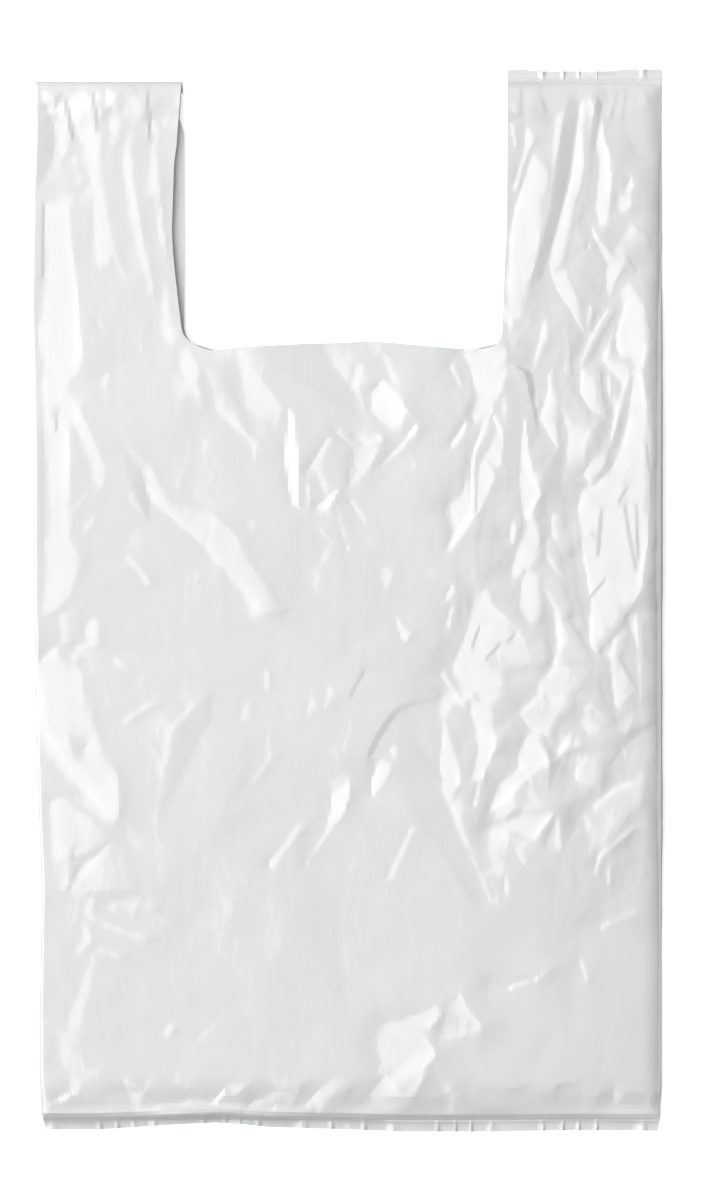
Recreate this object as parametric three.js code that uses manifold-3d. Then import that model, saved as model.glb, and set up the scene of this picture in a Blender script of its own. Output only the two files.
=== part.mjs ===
// A vest-style carrier bag of thin white film, lying flat on its back panel.
//
// The bag is one piece of film: a tube with a gusset folded into each side, welded across the
// bottom and across the top of each handle, and die-cut once through all its layers, which opens
// the mouth and leaves the two handles. Millimetres; X across the bag, Y from the bottom weld to
// the handles, Z up. The origin is on the floor under the middle of the bag.
import * as THREE from "three";
import { mergeVertices } from "three/addons/utils/BufferGeometryUtils.js";
import Module from "manifold-3d";

const wasm = await Module();
wasm.setup();

const { clamp, lerp, smoothstep, degToRad } = THREE.MathUtils;

// The folded tube
const WIDTH = 280; // between the outer folds
const LENGTH = 474; // from the bottom cut to the handles' top cut
const GUSSET_DEPTH = 73.5; // how far each side is folded in
const FILM = 0.25; // wall, thicker than real film so that it can be handled as a solid

// The welds, each with a strip of flattened film past it
const STRIP = 5.8;
const WELD_Y = LENGTH / 2 - STRIP; // both welds are this far from the middle
const WELD_FOLD = 0.22; // fold radius where the layers are pressed together

// How far the folds stand open, as the radius of the film's middle line
const SIDE_FOLD = { body: 1.3, handle: 0.5 }; // the four outer folds
const PLEAT_FOLD = { body: 0.9, handle: 2.7 }; // the two inner folds, where a hand goes through
const HANDLE_BLEND = { from: 60, to: 125 }; // Y over which body values turn into handle values

// The air that the body holds
const CROWN = 4.7; // rise of the front panel over its edges
const CROWN_END = { from: 60, to: 150 }; // Y over which the crown dies away
const SWELL = { bottom: 45, top: 26 }; // Y run from each weld to full height

// The die cut between the handles
const HANDLE_LEFT = -73.3; // inner edge of the left handle
const HANDLE_RIGHT = { top: 71.3, foot: 69.5 }; // the right one leans a little
const MOUTH_Y = 112.6; // the mouth's lowest points, beside the corners
const MOUTH_RISE = 2.6; // arch of the mouth's edge
const CORNER = 8.5; // corner radius at the foot of each handle

// The left handle's strip is folded under it
const UNDERFOLD = 0.7; // length of film that goes round the fold
const UNDER_GAP = 0.35; // between the folded strip and the film above it
const LIFT_RUN = 42; // Y run over which the left handle rises over the strip
const LIFT_FROM = -50; // X at which the rise starts
const LIFT_FULL = -72; // X from which it is complete

const HALF = WIDTH / 2;
const WELD_HEIGHT = FILM + 6 * WELD_FOLD; // four layers pressed together

// Quarter circle, from 0 at the weld to 1 at the end of its run.
function swell(distance, run) {
  const left = 1 - clamp(distance / run, 0, 1);
  return Math.sqrt(1 - left * left);
}

// A fold's radius at y: its body or handle value, pressed flat towards both welds.
function foldRadius(fold, y) {
  const open = lerp(fold.body, fold.handle, smoothstep(y, HANDLE_BLEND.from, HANDLE_BLEND.to));
  const puff = swell(y + WELD_Y, SWELL.bottom) * swell(WELD_Y - y, SWELL.top);
  return lerp(WELD_FOLD, open, puff);
}

// Height of the front panel over its edges: a flat-topped crown across the bag.
function crown(x, y) {
  const along = swell(y + WELD_Y, SWELL.bottom) * (1 - smoothstep(y, CROWN_END.from, CROWN_END.to));
  return CROWN * along * (1 - (x / HALF) ** 4);
}

// Height of the left handle's end over the strip that is folded under it.
function lift(x, y) {
  const onLeftHandle = clamp((x - LIFT_FROM) / (LIFT_FULL - LIFT_FROM), 0, 1);
  return (WELD_HEIGHT + UNDER_GAP) * onLeftHandle * smoothstep(y, WELD_Y - LIFT_RUN, WELD_Y);
}

// The X places at which every layer has points, so that layers lying on each other bend alike.
const COLUMNS = [LIFT_FULL, LIFT_FROM, -120, -96, -20, 20, 50, 72, 96, 120].sort((a, b) => a - b);

// One face of the film at y as a closed loop of points, anticlockwise seen from the handles'
// end. outward is +FILM / 2 for the face outside the bag and -FILM / 2 for the face inside it.
// Each run leaves out its last point, which is the next run's first.
function filmLoop(y, outward) {
  const side = foldRadius(SIDE_FOLD, y);
  const pleat = foldRadius(PLEAT_FOLD, y);
  const edge = HALF - FILM / 2 - side; // X of the outer folds' centres
  const inner = HALF - GUSSET_DEPTH + pleat; // X of the inner folds' centres
  const back = FILM / 2; // the heights of the four layers' middle lines
  const gussetBack = back + 2 * side;
  const gussetFront = gussetBack + 2 * pleat;
  const front = gussetFront + 2 * side;
  const points = [];

  const put = (x, z) => points.push(new THREE.Vector3(x, y, z + lift(x, y)));
  const run = (x0, x1, z) => {
    const between = COLUMNS.filter((x) => (x - x0) * (x - x1) < 0);
    if (x1 < x0) between.reverse();
    for (const x of [x0, ...between]) put(x, z(x));
  };
  const fold = (x, z, radius, startDeg, turnDeg) => {
    const steps = 3;
    for (let i = 0; i < steps; i++) {
      const angle = degToRad(startDeg + (turnDeg * i) / steps);
      put(x + radius * Math.cos(angle), z + radius * Math.sin(angle));
    }
  };

  run(-edge, edge, () => back - outward);
  fold(edge, back + side, side + outward, -90, 180);
  run(edge, inner, () => gussetBack + outward);
  fold(inner, gussetBack + pleat, pleat - outward, 270, -180);
  run(inner, edge, () => gussetFront - outward);
  fold(edge, gussetFront + side, side + outward, -90, 180);
  run(edge, -edge, (x) => front + outward + crown(x, y));
  fold(-edge, gussetFront + side, side + outward, 90, 180);
  run(-edge, -inner, () => gussetFront - outward);
  fold(-inner, gussetBack + pleat, pleat - outward, 90, -180);
  run(-inner, -edge, () => gussetBack + outward);
  fold(-edge, back + side, side + outward, 90, 180);
  return points;
}

// The stations along Y at which the tube's section is given: close together near the welds,
// where the film rises steeply, and round the mouth.
function stations() {
  const nearBottom = [0, 2, 6, 13, 24, 38, 55].map((d) => d - WELD_Y);
  const nearTop = [34, 25, 16, 9, 4, 1.5, 0].map((d) => WELD_Y - d);
  return [...nearBottom, -130, -80, -30, 20, 60, 80, 100, 118, 135, 152, 175, ...nearTop];
}

// A closed solid through the tube's loops: one skin with a cap on each end.
function loft(outward) {
  const loops = stations().map((y) => filmLoop(y, outward));
  const count = loops[0].length;
  const positions = loops.flat().flatMap((p) => [p.x, p.y, p.z]);
  const index = [];
  for (let s = 0; s < loops.length - 1; s++) {
    for (let i = 0; i < count; i++) {
      const a = s * count + i;
      const b = s * count + ((i + 1) % count);
      index.push(a, a + count, b, b, a + count, b + count);
    }
  }
  // The caps are triangulated slightly bent, so that no three points of a run are in line.
  const cap = (loop, first, reversed) => {
    const outline = loop.map((p) => new THREE.Vector2(p.x, p.z + 1e-6 * p.x * p.x));
    for (const [a, b, c] of THREE.ShapeUtils.triangulateShape(outline, [])) {
      index.push(first + a, first + (reversed ? c : b), first + (reversed ? b : c));
    }
  };
  cap(loops[0], 0, false);
  cap(loops.at(-1), (loops.length - 1) * count, true);
  const geometry = new THREE.BufferGeometry();
  geometry.setAttribute("position", new THREE.Float32BufferAttribute(positions, 3));
  geometry.setIndex(index);
  return geometry;
}

// A box between two corners.
function block(low, high) {
  const size = new THREE.Vector3(...high).sub(new THREE.Vector3(...low));
  const middle = new THREE.Vector3(...low).addScaledVector(size, 0.5);
  return new THREE.BoxGeometry(size.x, size.y, size.z).translate(...middle);
}

// The die's outline, from above the left handle, down, across the mouth and up again.
function dieCut() {
  const clear = LENGTH / 2 + 20;
  const die = new THREE.Shape();
  die.moveTo(HANDLE_LEFT, clear);
  die.lineTo(HANDLE_LEFT, MOUTH_Y + CORNER);
  die.quadraticCurveTo(HANDLE_LEFT, MOUTH_Y + 0.8, HANDLE_LEFT + CORNER, MOUTH_Y);
  die.quadraticCurveTo(0, MOUTH_Y + 2 * MOUTH_RISE, HANDLE_RIGHT.foot - CORNER, MOUTH_Y);
  die.quadraticCurveTo(HANDLE_RIGHT.foot - 1, MOUTH_Y + 0.8, HANDLE_RIGHT.foot, MOUTH_Y + CORNER);
  die.lineTo(HANDLE_RIGHT.top, WELD_Y);
  die.lineTo(HANDLE_RIGHT.top, clear);
  const stroke = { depth: 40, bevelEnabled: false, curveSegments: 8 };
  return new THREE.ExtrudeGeometry(die, stroke).translate(0, 0, -10);
}

// A closed mesh as a solid, and back.
function solid(geometry) {
  const bare = geometry.index ? geometry : mergeVertices(geometry);
  for (const name of Object.keys(bare.attributes)) {
    if (name !== "position") bare.deleteAttribute(name);
  }
  const merged = mergeVertices(bare, 1e-3);
  const vertProperties = merged.attributes.position.array;
  const triVerts = new Uint32Array(merged.index.array);
  return new wasm.Manifold(new wasm.Mesh({ numProp: 3, vertProperties, triVerts }));
}

function geometryOf(manifold) {
  const { vertProperties, triVerts } = manifold.getMesh();
  const geometry = new THREE.BufferGeometry();
  geometry.setAttribute("position", new THREE.BufferAttribute(vertProperties, 3));
  geometry.setIndex(new THREE.BufferAttribute(triVerts, 1));
  geometry.computeVertexNormals();
  return geometry;
}

// The flattened strips past the welds. The left handle's one lies under the handle's end and
// joins it by a short upright where the film turns over.
function strips() {
  const end = LENGTH / 2;
  const overlap = 0.3;
  const top = WELD_Y - overlap;
  const raised = 2 * WELD_HEIGHT + UNDER_GAP;
  return [
    block([-HALF, -end, 0], [HALF, overlap - WELD_Y, WELD_HEIGHT]),
    block([0, top, 0], [HALF, end, WELD_HEIGHT]),
    block([-HALF, top, 0], [HANDLE_LEFT, WELD_Y + UNDERFOLD, raised]),
    block([-HALF, WELD_Y - STRIP, 0], [HANDLE_LEFT, WELD_Y, WELD_HEIGHT]),
  ];
}

function bagFilm() {
  let film = solid(loft(FILM / 2));
  for (const strip of strips()) film = film.add(solid(strip));
  return geometryOf(film.subtract(solid(loft(-FILM / 2))).subtract(solid(dieCut())));
}

const whiteFilm = new THREE.MeshStandardMaterial({
  name: "white_film",
  color: new THREE.Color(0.93, 0.93, 0.93),
  roughness: 0.3,
  metalness: 0,
  side: THREE.DoubleSide,
});

const carrierBag = new THREE.Group();
carrierBag.name = "carrier_bag";
const film = new THREE.Mesh(bagFilm(), whiteFilm);
film.name = "bag_film";
carrierBag.add(film);

export default carrierBag;
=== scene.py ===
"""A vest-style carrier bag of thin white film, lying flat and crumpled, seen from above.

The bag is one sheet: a tube of film with a gusset folded into each side, welded across the bottom
and across the top of each handle, and die-cut through all its layers. The bag's lengths are
millimetres until its mesh is made. Those of the finish, the light and the camera are metres. X
runs across the bag, Y from the bottom to the handles and Z up from the floor.
"""
import math

import bpy
import numpy as np
from mathutils.geometry import delaunay_2d_cdt
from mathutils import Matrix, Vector


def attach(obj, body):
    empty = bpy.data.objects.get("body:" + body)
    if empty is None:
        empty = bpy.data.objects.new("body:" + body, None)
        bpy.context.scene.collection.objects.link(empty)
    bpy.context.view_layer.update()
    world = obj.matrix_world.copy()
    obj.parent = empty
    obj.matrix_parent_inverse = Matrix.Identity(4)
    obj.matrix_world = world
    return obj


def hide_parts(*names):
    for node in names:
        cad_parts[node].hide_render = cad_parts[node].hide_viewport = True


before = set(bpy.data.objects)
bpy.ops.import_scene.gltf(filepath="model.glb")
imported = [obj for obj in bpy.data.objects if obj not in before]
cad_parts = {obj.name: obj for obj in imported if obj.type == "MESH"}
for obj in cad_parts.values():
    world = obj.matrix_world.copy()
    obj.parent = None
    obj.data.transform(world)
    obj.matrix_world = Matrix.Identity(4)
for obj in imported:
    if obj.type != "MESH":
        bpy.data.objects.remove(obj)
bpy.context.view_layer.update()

MM = 0.001

# ---------------------------------------------------------------- the bag's outline

HALF_WIDTH = 140.0
BOTTOM = -237.0
TOP = 237.0
WELD = 231.2  # both welds are this far from the middle
MOUTH = 114.0  # the mouth's nominal height
GUSSET_DEPTH = 73.5
FLOOR_GAP = 0.12  # from the floor to the back panel
WELD_STACK = 0.36  # four layers pressed together

# Each curve is x against y, or y against x, as pairs in order.
LEFT_EDGE = (
    (-237, -135), (-230, -136.5), (-215, -137.3), (-175, -137.3), (-130, -136.5), (-90, -138),
    (-50, -139), (0, -140), (80, -140.3), (150, -140.5), (184, -139.8), (205, -139.2), (231, -139.5),
    (237, -139.5),
)
RIGHT_EDGE = (
    (-237, 138), (-231, 139.2), (-215, 139.8), (-100, 140), (0, 139.8), (90, 140), (237, 140),
)
LEFT_STRAP_FRONT = (
    (-237, -71), (108, -70.5), (114.8, -70.3), (116, -72), (118, -73.4), (121, -74.2), (132, -75.5),
    (145, -77), (155, -78), (165, -78.5), (195, -77.5), (202, -76.5), (215, -75.5), (237, -73.8),
)
LEFT_STRAP_BACK = (
    (-237, -71), (108, -70.5), (114.8, -70.3), (116, -71.4), (118, -72.4), (121, -73), (209, -73.2),
    (215, -75.2), (237, -73.6),
)
RIGHT_STRAP = (
    (-237, 68), (108, 67.5), (114.8, 67.2), (117, 68.6), (120, 69), (150, 70), (165, 71), (237, 71.3),
)
MOUTH_EDGE = (
    (-140, 114), (-74, 114.8), (-70.3, 114.8), (-65, 112.5), (-61, 111.5), (-45, 113), (-20, 114.3),
    (0, 115), (10, 115.5), (20, 114.7), (40, 113), (50, 112), (60, 112), (65, 113.4), (67.2, 114.8),
    (72, 114.8), (140, 114),
)
BOTTOM_EDGE = (
    (-140, -236), (-110, -236), (-80, -234), (-55, -232.8), (-35, -235), (0, -236), (25, -237),
    (60, -237), (100, -236.4), (140, -236.6),
)
TOP_EDGE = (
    (68, 236.6), (80, 237), (82, 236), (100, 236.2), (120, 236), (121, 237), (140, 237),
)

# ---------------------------------------------------------------- the crumples, facet by facet

# Slopes across the bag that a facet may have. A rise to the right turns the film to the left.
STRONG = 0.20
BRIGHT = 0.13
LIGHT = 0.08
DARK = -0.14
DEEP = -0.34
SLOPE_DRIFT = 0.055  # added at the right edge and taken off at the left one

# Each facet is its slope, by name or as a value of its own, and its corners, x and y in turn.
FACETS = (
    # left handle
    (DARK, -139, 228, -134, 218, -131, 210, -131, 203, -133, 193, -139.5, 184),
    (BRIGHT, -137.5, 228, -129, 224, -126, 218, -123, 206, -124, 200, -127, 197, -131, 200,
     -131, 210, -134, 219),
    (LIGHT, -139, 184, -134, 190, -131, 198, -126, 196, -124, 190, -126, 178, -139, 178),
    (BRIGHT, -135, 178, -126, 178, -123, 155, -121, 140, -119.5, 112, -124, 92, -125, 50, -124, 28,
     -118, 19, -123, 3, -127, -3, -136, -8, -136, 100, -139, 120, -137, 150),
    (BRIGHT, -127, 222, -115, 223, -112, 212, -118, 213, -124, 212),
    (BRIGHT, -117, 213, -112, 212, -110, 195, -107, 178, -104, 165, -106, 150, -112, 148,
     -114, 165, -113, 178, -115, 185, -115.5, 200),
    (LIGHT, -107, 222, -104, 222, -103.5, 210, -104, 195, -105, 181, -107, 195, -108, 210),
    (BRIGHT, -105, 165, -103.5, 160, -99, 144, -98.5, 134, -101, 143, -105.5, 155),
    (BRIGHT, -98.5, 210, -96, 208, -95.5, 198, -94, 185, -92, 172, -90.5, 160, -88, 148, -86, 133,
     -88, 132, -92, 152, -96, 178, -99.5, 193),
    (BRIGHT, -88.5, 216, -85.5, 213, -84.5, 200, -83, 183, -85.5, 181, -87, 188, -88, 200),
    (LIGHT, -86, 218, -81, 207, -79, 226),
    (BRIGHT, -83, 120, -77, 122, -74.5, 118, -79, 113),
    # left side of the body
    (BRIGHT, -124, 92, -120, 84, -113, 70, -109, 60, -107.5, 54, -110, 48, -114, 54, -118, 63,
     -121, 72, -124, 80),
    (BRIGHT, -124, 42, -115, 49, -122, 39),
    (BRIGHT, -121, 27, -112, 41, -112, 34),
    (BRIGHT, -115, -10, -110, -8, -110, -20, -115, -20),
    (LIGHT, -128, -5, -120, -3, -118, -18, -127, -20),
    (BRIGHT, -102, 73, -97, 68, -89, 62, -86, 60, -84, 55, -81, 50, -77, 40, -82, 44, -90, 53,
     -98, 65),
    (0.12, -98, 66, -90, 60, -84, 54, -77, 44, -68, 41.5, -62, 40, -56, 35, -50, 29, -47, 23, -38, 9, -30, -5,
     -40, -6, -45, 3, -50, 9, -60, 19, -70, 30, -80, 38,
     -92, 52),
    (BRIGHT, -66, 40, -60, 38, -55, 31, -60, 32),
    (DARK, -100, 62, -92, 58, -88, 33, -95, 45),
    (BRIGHT, -75, 112, -73, 104, -72, 98, -65, 87.5, -67, 97, -66, 103, -70, 111),
    (LIGHT, -65, 105, -57, 103, -52, 92, -47, 83, -42, 73, -37, 66, -47, 74, -58, 84, -62, 97),
    (BRIGHT, -45, 36, -43, 36, -41, 30, -44, 32),
    (BRIGHT, -130, -20, -128, -26, -119, -24, -116, -38, -113, -50, -107, -68, -103, -75,
     -101.5, -88, -103.5, -99.5, -111, -92, -124, -77, -134.5, -62, -138, -50, -138, -28),
    (STRONG, -104, -75, -101.5, -88, -103.5, -99.5, -111, -92, -124, -77, -134.5, -62, -134, -58,
     -122, -71, -110, -84),
    (DARK, -126, -62, -116, -64, -120, -68),
    (BRIGHT, -133, -90, -125, -89, -118, -94, -104.5, -105, -110, -110, -120, -115, -130, -115,
     -131, -105),
    (LIGHT, -104, -105, -97, -112, -95, -129, -118, -131, -124, -128),
    (-0.06, -79, -59, -61, -38, -61, -53, -66, -60, -75, -80, -84, -98),
    (DARK, -108, -222, -94, -225, -95, -230, -112, -229),
    (DARK, -94, -224, -82, -228, -50, -227, -45, -223, -50, -230, -90, -230),
    # middle of the body
    (DARK, -42, 112, -13, 115, -8, 105, 2, 95, 7, 82, -10, 91, -25, 100, -35, 107),
    (STRONG, -27, 86, -25, 84, -23, 65, -22, 42, -20, 39, -26, 43, -29, 63, -27.5, 80),
    (LIGHT, -22, 40, -14, 33, 0, 20, -12, 28),
    (STRONG, 9, 92, 15, 98, 20, 93, 25, 86, 29.5, 80, 25, 84, 24, 79, 17, 78, 13, 80, 9, 84),
    (STRONG, 2, 74, 14, 74, 15.5, 71.5, 8, 69, 3, 71),
    (STRONG, 29, 79, 31.5, 77, 26, 71, 22, 66, 13, 58, 17, 63, 25, 72),
    (LIGHT, 2, 69, 14, 69, 8, 57, 0, 50),
    (STRONG, -4, 50, -10, 39.5, -15, 41, -7, 49),
    (LIGHT, 14, 15, 20, 12, 15, -1),
    (STRONG, 20, -4, 25, -13, 28, -14, 25, -20, 21, -9),
    (STRONG, 10, -88, 10, -80, 14, -71, 20, -73, 16, -81),
    (STRONG, 18, -66, 24, -63, 21, -72),
    (STRONG, 1, -76, -2, -83, -7, -86, -9, -100, -10, -105, -2, -95, 0, -88),
    (-0.09, 22, -55, 28, -60, 36, -72, 48, -97, 63, -135, 58, -138, 47, -120, 28, -93, 20, -75),
    # bottom of the body
    (-0.13, -134, -217, -116, -221, -104, -219, -90, -223, -60, -224, -40, -229, -134, -229),
    (-0.13, -8, -222, 2, -219, 4, -230, -6, -230),
    (-0.13, 48, -217, 62, -222, 78, -219, 96, -223, 134, -221, 134, -230, 48, -230),
    (STRONG, 13, -190, 25, -186, 39, -181.5, 42, -184, 36, -190, 30, -190, 22, -193),
    (LIGHT, 13, -192, 30, -191, 38, -199, 25, -206, 17, -210, 11, -198),
    (STRONG, 38, -199, 38.5, -203, 32, -210, 20, -216, 12, -216, 20, -210, 30, -202),
    (LIGHT, 10, -219, 24, -214, 36, -208, 28, -222, 15, -229, 5, -230, 3, -225),
    (LIGHT, 44, -180, 50, -175, 53, -182, 60, -190, 40, -197),
    (DARK, 38, -204, 44, -222, 46, -230, 25, -229, 33, -214),
    (LIGHT, -30, -224, -14, -218, -11, -225, -18, -228, -30, -229),
    (STRONG, 63, -171, 72, -170.5, 82, -168, 90, -164, 84, -169, 72, -173),
    # right handle
    (BRIGHT, 72, 226, 74, 222, 75, 213, 71.5, 222),
    (BRIGHT, 79, 214, 83, 206, 78, 195, 75, 183, 73, 183, 78, 200),
    (BRIGHT, 82, 199, 89, 192, 89, 185, 85, 173, 77, 172, 74, 174, 79, 190),
    (LIGHT, 74, 173, 88, 178, 83, 150, 77, 125, 71, 115, 72, 160),
    (LIGHT, 93, 221, 95, 212, 92, 195, 89, 178),
    (DEEP, 98, 225, 103, 222, 100, 200, 96, 178, 91, 160, 86, 143, 81, 143, 87, 163, 92, 190,
     96, 218),
    (BRIGHT, 104, 223, 105.5, 218, 104, 187, 101, 178, 98, 160, 95, 150, 90, 146, 89, 150, 93, 165,
     99, 188, 103, 220),
    (BRIGHT, 90, 146, 98, 146, 99, 140, 103, 133, 105, 118, 100, 127, 92, 140),
    (BRIGHT, 107.5, 133, 109, 128, 107, 118, 105.5, 122),
    (DEEP, 111, 226, 113, 221, 109.5, 200, 109, 190, 107, 190, 108, 210),
    (-0.10, 78, 230, 98, 230, 96, 219, 87, 214, 80, 216),
    (-0.10, 115, 230, 139, 230, 139, 205, 134, 196, 128, 200, 122, 213, 117, 214),
    (BRIGHT, 113, 218, 114, 205, 116, 200, 117, 188, 116, 170, 112, 168, 110, 175, 111.5, 192,
     110.5, 203),
    (BRIGHT, 108, 167, 112, 160, 117, 154, 115, 150, 109, 162),
    (BRIGHT, 123, 183, 126, 189, 127, 184),
    (BRIGHT, 120, 181, 126, 179, 126, 175, 119.5, 174),
    (LIGHT, 126, 168, 135, 160, 124, 158, 116, 153, 122, 162),
    (BRIGHT, 116, 152, 124, 152, 119, 143, 116, 133, 114.5, 147),
    (BRIGHT, 126, 138, 130, 137, 133, 125, 134, 118, 131, 104, 126, 107, 121, 106, 119, 118,
     123, 132),
    (LIGHT, 116, 131, 110, 122, 103, 105, 103, 101, 112, 118, 118, 129),
    (BRIGHT, 118, 123, 117, 112, 123, 107, 125, 103, 120, 100, 113, 107, 115, 113),
    (BRIGHT, 89, 127, 89.5, 118, 84, 104, 81, 100, 83, 108, 87, 123),
    (LIGHT, 96, 121, 98, 115, 99, 100, 96.5, 100),
    (LIGHT, 71, 144, 73, 144, 72, 130),
    (BRIGHT, 76, 131, 77, 125, 74, 124),
    (LIGHT, 76, 118, 73, 112, 71, 116),
    # right side of the body
    (BRIGHT, 50, 111, 54, 105, 57, 90, 54.5, 82, 56, 79, 65, 87, 70, 100, 70, 113),
    (BRIGHT, 64, 71, 69, 75, 67.5, 60, 62, 62, 65, 55, 60, 43, 57, 38, 58, 60),
    (BRIGHT, 52, 55, 51, 49, 44, 43, 43, 39.5, 46, 31, 43, 20.5, 49, 28, 55, 37),
    (-0.12, 70, 100, 77, 98, 77, 60, 70, 58),
    (BRIGHT, 83, 93, 85.5, 86, 83, 87),
    (BRIGHT, 89, 100, 91, 103, 93, 87, 92, 78, 93.5, 70, 92.5, 68, 88, 76, 85, 81, 89, 92),
    (LIGHT, 94, 86, 101, 83, 112, 80, 106, 72, 105, 60, 97, 60, 98, 75),
    (BRIGHT, 103, 103, 112, 103, 113, 90, 115, 81, 108, 84, 103, 92),
    (DARK, 118, 100, 119, 85, 115, 68, 105, 57, 110, 60, 120, 70, 124, 90),
    (BRIGHT, 115, 100, 117, 100, 116, 86),
    (BRIGHT, 123, 100, 125, 100, 120, 80, 116, 68, 118, 82),
    (BRIGHT, 115, 67, 108, 62, 104.5, 56, 108, 52, 115, 62),
    (BRIGHT, 127, 100, 131, 100, 133, 80, 135, 72, 134, 50, 133, 25, 130, 4, 126, -3, 120, -12,
     113, -20, 111, -24, 107.5, -20, 108, -2, 104.5, 20, 103, 30, 109, 29, 109, 50, 118, 60,
     124, 76),
    (BRIGHT, 104, 49, 109, 50, 109, 30, 103, 29.5, 102, 40),
    (BRIGHT, 78.5, 84, 80, 68, 82, 55, 86, 47, 80, 38, 84, 35, 86, 20, 78, 12, 72, 11, 78, 33,
     76, 55, 77.5, 76),
    (BRIGHT, 73.5, 36, 74, 25, 71, 27),
    (LIGHT, 90, 38, 94, 38, 98, 25, 97, 19, 91, 26),
    (LIGHT, 88, 27, 90, 28, 94, 20, 95, 10, 88, 19),
    (BRIGHT, 77, 10, 85, 10, 86, -5, 84, -10, 80, -11, 76, -5),
    (LIGHT, 85, 8, 94, 9, 99, -5, 97, -8, 108, -28, 91, -30, 94, -18, 92, -5),
    (BRIGHT, 92, -24, 104, -25, 91, -30),
    (BRIGHT, 55, 0, 64, -3, 75, -11, 86, -17, 90, -24, 88, -28, 77, -30, 70, -32, 69, -38, 55, -40,
     46, -33, 46, -29, 51, -18, 54, -8),
    (BRIGHT, 57, -42, 70, -42, 60, -46),
    (BRIGHT, 54, -48, 64, -49, 65, -65, 60, -78, 55, -79, 59, -62, 56, -54),
    (BRIGHT, 42.5, -52, 48, -66, 50, -82, 42, -80, 40.5, -75, 42, -60),
    (LIGHT, 127, -5, 131, -10, 130, -50, 128, -20),
    (LIGHT, 118, -17, 124, -14, 121, -25, 128, -40, 119, -48, 116, -25),
    (DARK, 111, -25, 116, -25, 118, -54, 112, -35),
    (LIGHT, 85, -36, 91, -31, 107, -32, 100, -42, 84, -43),
    (LIGHT, 84, -44, 101, -45, 94, -54, 91, -62, 80, -56, 76, -50),
    (BRIGHT, 80, -60, 86, -60, 89.5, -72.5, 76, -74, 75, -69),
    (BRIGHT, 86, -73, 78, -81, 62, -96, 66, -84, 70, -79, 76, -77),
    (BRIGHT, 92, -71, 94, -65, 105, -64, 95, -69),
    (LIGHT, 101, -75, 106, -69, 114, -70, 112, -83, 101, -80),
    (LIGHT, 104, -48, 110, -48, 116, -54, 106, -58.5),
    (LIGHT, 119, -55, 127, -52, 124, -60),
    (LIGHT, 118, -84, 132, -80, 130, -92, 113, -97, 108, -92),
    (BRIGHT, 60, -103, 77, -94, 92, -94, 83, -106, 70, -103),
    (LIGHT, 93, -95, 95, -111, 88, -109),
    (LIGHT, 104, -95, 128, -90, 115, -110, 107, -109),
)

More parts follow.
